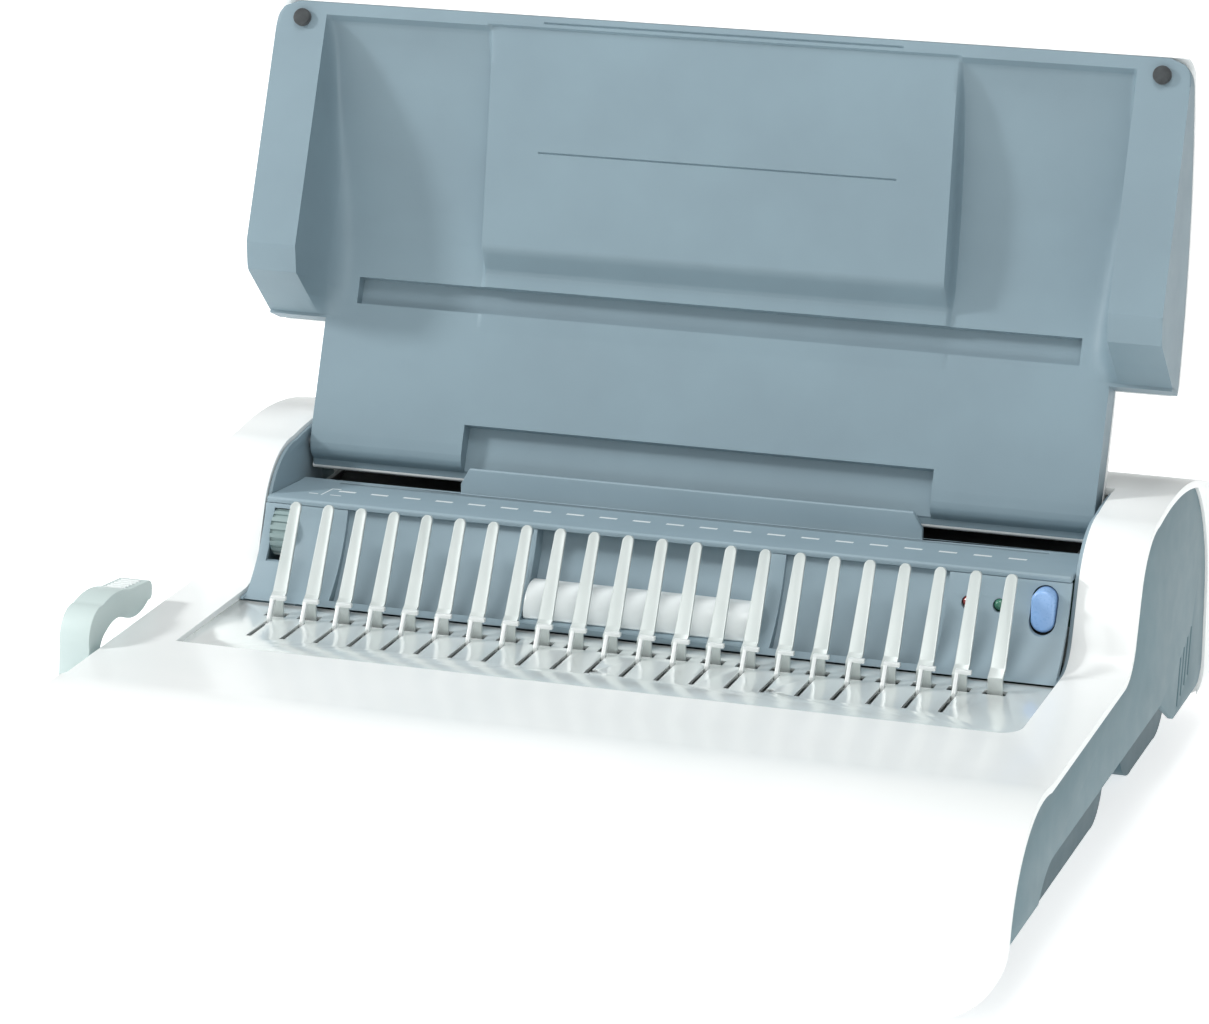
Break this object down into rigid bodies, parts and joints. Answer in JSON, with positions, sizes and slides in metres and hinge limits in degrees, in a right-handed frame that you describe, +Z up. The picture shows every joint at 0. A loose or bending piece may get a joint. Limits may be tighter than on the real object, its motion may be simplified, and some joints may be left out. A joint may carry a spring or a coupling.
{
  "type": "comb binding machine",
  "caption": "Electric comb binding machine, lid open: white shell with grey cheeks, steel comb plate with fingers and hooks, throat behind them, side comb lever and punch button.",
  "frame": {"origin": "on the table plane under the feet, midway between the furthest points on each side and midway between the front edge and the furthest point behind", "axes": "+X to the user's right along the punched edge, +Y towards the back, +Z up"},
  "size_m": [0.4104, 0.3814, 0.3034],
  "materials": {
    "white_shell": "fine satin white moulding",
    "liner_grey": "finely grained grey-blue moulding",
    "cheek_grey": "grained blue-grey moulding",
    "base_grey": "dark blue-grey moulding",
    "foot_rubber": "soft dark rubber",
    "plate_steel": "brushed stainless sheet",
    "tool_steel": "ground tool steel",
    "zinc_sheet": "zinc-plated pressed sheet",
    "lever_grey": "pale grey moulding",
    "gauge_white": "smooth white moulding",
    "button_blue": "smooth pale blue moulding",
    "lamp_red": "tinted clear red lens",
    "lamp_green": "tinted clear green lens",
    "black_plastic": "black moulding",
    "cover_black": "black painted sheet",
    "board_green": "green lacquered circuit board",
    "gear_white": "natural white gear plastic",
    "bearing_brass": "sintered bronze and brass",
    "motor_can": "zinc-coated motor can"
  },
  "bodies": {
    "chassis": {"base_tray": "base_grey", "board_standoffs": "black_plastic", "button_springs": "tool_steel", "button_switch": "black_plastic", "comb_fingers": "plate_steel", "comb_gauge": "gauge_white", "comb_panel": "liner_grey", "comb_plate": "plate_steel", "control_board": "board_green", "dial_bracket": "zinc_sheet", "die_plate": "tool_steel", "frame_left": "zinc_sheet", "frame_right": "zinc_sheet", "idler_pin": "tool_steel", "indicator_board": "board_green", "lamp_green": "lamp_green", "lamp_red": "lamp_red", "lever_bracket": "zinc_sheet", "lever_bush": "bearing_brass", "mains_inlet": "black_plastic", "mechanism_cover": "cover_black", "motor": "motor_can", "motor_cradle": "black_plastic", "punch_deck": "liner_grey", "rubber_feet": "foot_rubber", "shaft_bearings": "bearing_brass", "side_panel_left": "cheek_grey", "side_panel_right": "cheek_grey", "slider_guides": "black_plastic", "stripper_plate": "tool_steel", "switch_bezel": "black_plastic", "throat_floor": "black_plastic", "upper_housing": "white_shell"},
    "lid": {"lid_outer_shell": "white_shell", "lid_inner_liner": "liner_grey", "lid_bumpers": "foot_rubber", "lid_hinge_pins": "tool_steel"},
    "lever": {"comb_lever": "lever_grey", "lever_shaft": "tool_steel", "lever_pinion": "gear_white"},
    "hook_slide": {"hook_slider": "zinc_sheet", "comb_hooks": "plate_steel", "slider_rack": "gear_white"},
    "edge_dial": {"edge_guide_dial": "lever_grey", "edge_guide_screw": "tool_steel"},
    "edge_stop": {"edge_guide": "black_plastic"},
    "button": {"punch_button": "button_blue"},
    "camshaft": {"drive_shaft": "tool_steel", "punch_cams": "tool_steel", "drive_gear": "gear_white"},
    "punch": {"punch_bar": "zinc_sheet", "punch_pins": "tool_steel"},
    "idler": {"idler_gear": "gear_white"},
    "rotor": {"motor_pinion": "bearing_brass"},
    "tray": {"chip_tray": "base_grey"},
    "rocker": {"power_switch": "black_plastic"}
  },
  "joints": [
    {"name": "lid_hinge", "type": "hinge", "parent": "chassis", "child": "lid", "pos_m": [0.00825, 0.06429, 0.119], "axis": [1, 0, 0], "range_deg": [0, 113]},
    {"name": "comb_lever", "type": "hinge", "parent": "chassis", "child": "lever", "pos_m": [-0.19875, -0.09071, 0.045], "axis": [1, 0, 0], "range_deg": [0, 95]},
    {"name": "hook_slide", "type": "slide", "parent": "chassis", "child": "hook_slide", "axis": [0, -1, 0], "range_m": [0, 0.02]},
    {"name": "edge_dial", "type": "hinge", "parent": "chassis", "child": "edge_dial", "pos_m": [-0.15375, 0.01629, 0.094], "axis": [1, 0, 0], "range_deg": [0, 1080]},
    {"name": "edge_stop", "type": "slide", "parent": "chassis", "child": "edge_stop", "axis": [1, 0, 0], "range_m": [0, 0.00601]},
    {"name": "punch_button", "type": "slide", "parent": "chassis", "child": "button", "axis": [0, 1, 0], "range_m": [0, 0.002], "stiffness_N_per_m": 400, "springref_m": -0.001, "deforming": ["button_springs"]},
    {"name": "camshaft", "type": "hinge", "parent": "chassis", "child": "camshaft", "pos_m": [0.00825, 0.11429, 0.088], "axis": [1, 0, 0], "range_deg": [0, 180]},
    {"name": "punch_slide", "type": "slide", "parent": "chassis", "child": "punch", "axis": [0, -1, 0], "range_m": [0, 0.00801]},
    {"name": "idler", "type": "hinge", "parent": "chassis", "child": "idler", "pos_m": [0.15625, 0.12629, 0.06051], "axis": [1, 0, 0], "range_deg": [-720.1, 0]},
    {"name": "motor", "type": "hinge", "parent": "chassis", "child": "rotor", "pos_m": [0.15825, 0.14429, 0.04619], "axis": [1, 0, 0], "range_deg": [0, 2592.2]},
    {"name": "chip_tray", "type": "slide", "parent": "chassis", "child": "tray", "axis": [0, 1, 0], "range_m": [0, 0.15]},
    {"name": "power_switch", "type": "hinge", "parent": "chassis", "child": "rocker", "pos_m": [0.10425, 0.18309, 0.038], "axis": [-1, 0, 0], "range_deg": [0, 14]}
  ],
  "couplings": [
    {"joint": "hook_slide", "follows": "comb_lever", "m_per_rad": 0.012},
    {"joint": "edge_stop", "follows": "edge_dial", "m_per_rad": 0.00031831},
    {"joint": "punch_slide", "follows": "camshaft", "m_per_rad": 0.0025465},
    {"joint": "idler", "follows": "camshaft", "ratio": -4},
    {"joint": "motor", "follows": "camshaft", "ratio": 14.4}
  ]
}
